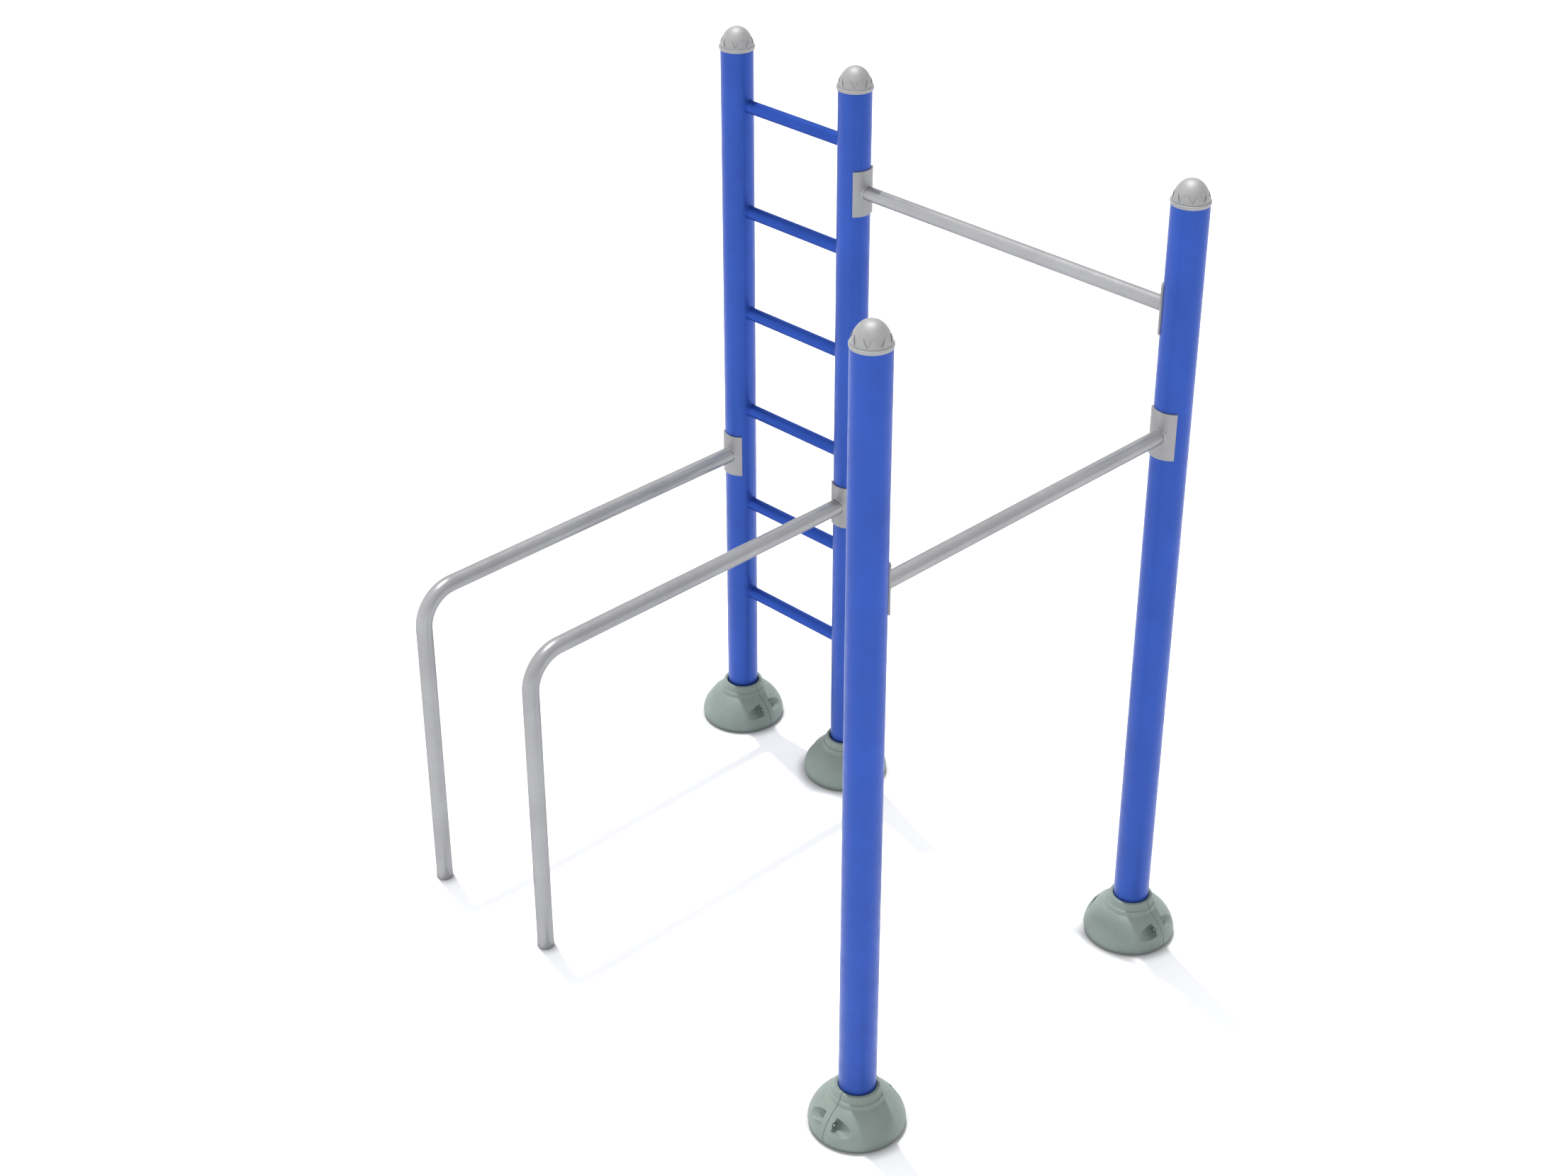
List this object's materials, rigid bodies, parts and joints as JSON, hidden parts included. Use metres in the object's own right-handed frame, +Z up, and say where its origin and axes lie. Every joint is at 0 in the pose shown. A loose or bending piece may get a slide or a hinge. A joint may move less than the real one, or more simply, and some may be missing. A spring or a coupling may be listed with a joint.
{
  "type": "monkey bars",
  "caption": "Outdoor climbing frame on round posts: vertical ladder, high and low chin-up bars at a right angle, and parallel dip bars standing on bent legs.",
  "frame": {"origin": "on the ground, at the middle of the footprint's bounding box", "axes": "+Z up; +X along the ladder and the high bar, from the ladder to the corner post; +Y from the free ends of the dip bars towards the ladder"},
  "size_m": [1.737, 1.308, 2.1665],
  "materials": {
    "post_paint": "blue satin powder coat on steel tube",
    "bar_paint": "light grey satin powder coat on steel tube and plate",
    "cap_plastic": "grey moulded plastic, slight sheen",
    "cover_plastic": "greenish grey moulded plastic, finely textured",
    "fastener_zinc": "zinc-plated steel"
  },
  "bodies": {
    "root": {"post_ladder_left": "post_paint", "base_flange_ladder_left": "post_paint", "post_cap_ladder_left": "cap_plastic", "base_cover_ladder_left_nut_half": "cover_plastic", "base_cover_ladder_left_bolt_half": "cover_plastic", "cover_bolt_ladder_left_near": "fastener_zinc", "cover_nut_ladder_left_near": "fastener_zinc", "cover_bolt_ladder_left_far": "fastener_zinc", "cover_nut_ladder_left_far": "fastener_zinc", "post_ladder_right": "post_paint", "base_flange_ladder_right": "post_paint", "post_cap_ladder_right": "cap_plastic", "base_cover_ladder_right_nut_half": "cover_plastic", "base_cover_ladder_right_bolt_half": "cover_plastic", "cover_bolt_ladder_right_near": "fastener_zinc", "cover_nut_ladder_right_near": "fastener_zinc", "cover_bolt_ladder_right_far": "fastener_zinc", "cover_nut_ladder_right_far": "fastener_zinc", "post_corner": "post_paint", "base_flange_corner": "post_paint", "post_cap_corner": "cap_plastic", "base_cover_corner_nut_half": "cover_plastic", "base_cover_corner_bolt_half": "cover_plastic", "cover_bolt_corner_near": "fastener_zinc", "cover_nut_corner_near": "fastener_zinc", "cover_bolt_corner_far": "fastener_zinc", "cover_nut_corner_far": "fastener_zinc", "post_end": "post_paint", "base_flange_end": "post_paint", "post_cap_end": "cap_plastic", "base_cover_end_nut_half": "cover_plastic", "base_cover_end_bolt_half": "cover_plastic", "cover_bolt_end_near": "fastener_zinc", "cover_nut_end_near": "fastener_zinc", "cover_bolt_end_far": "fastener_zinc", "cover_nut_end_far": "fastener_zinc", "rung_1": "post_paint", "rung_2": "post_paint", "rung_3": "post_paint", "rung_4": "post_paint", "rung_5": "post_paint", "rung_6": "post_paint", "chin_bar_high": "bar_paint", "chin_bar_low": "bar_paint", "dip_bar_left": "bar_paint", "dip_bar_right": "bar_paint", "saddle_high_bar_ladder": "bar_paint", "saddle_high_bar_corner": "bar_paint", "saddle_low_bar_corner": "bar_paint", "saddle_low_bar_end": "bar_paint", "saddle_dip_bar_left": "bar_paint", "saddle_dip_bar_right": "bar_paint"}
  },
  "joints": []
}
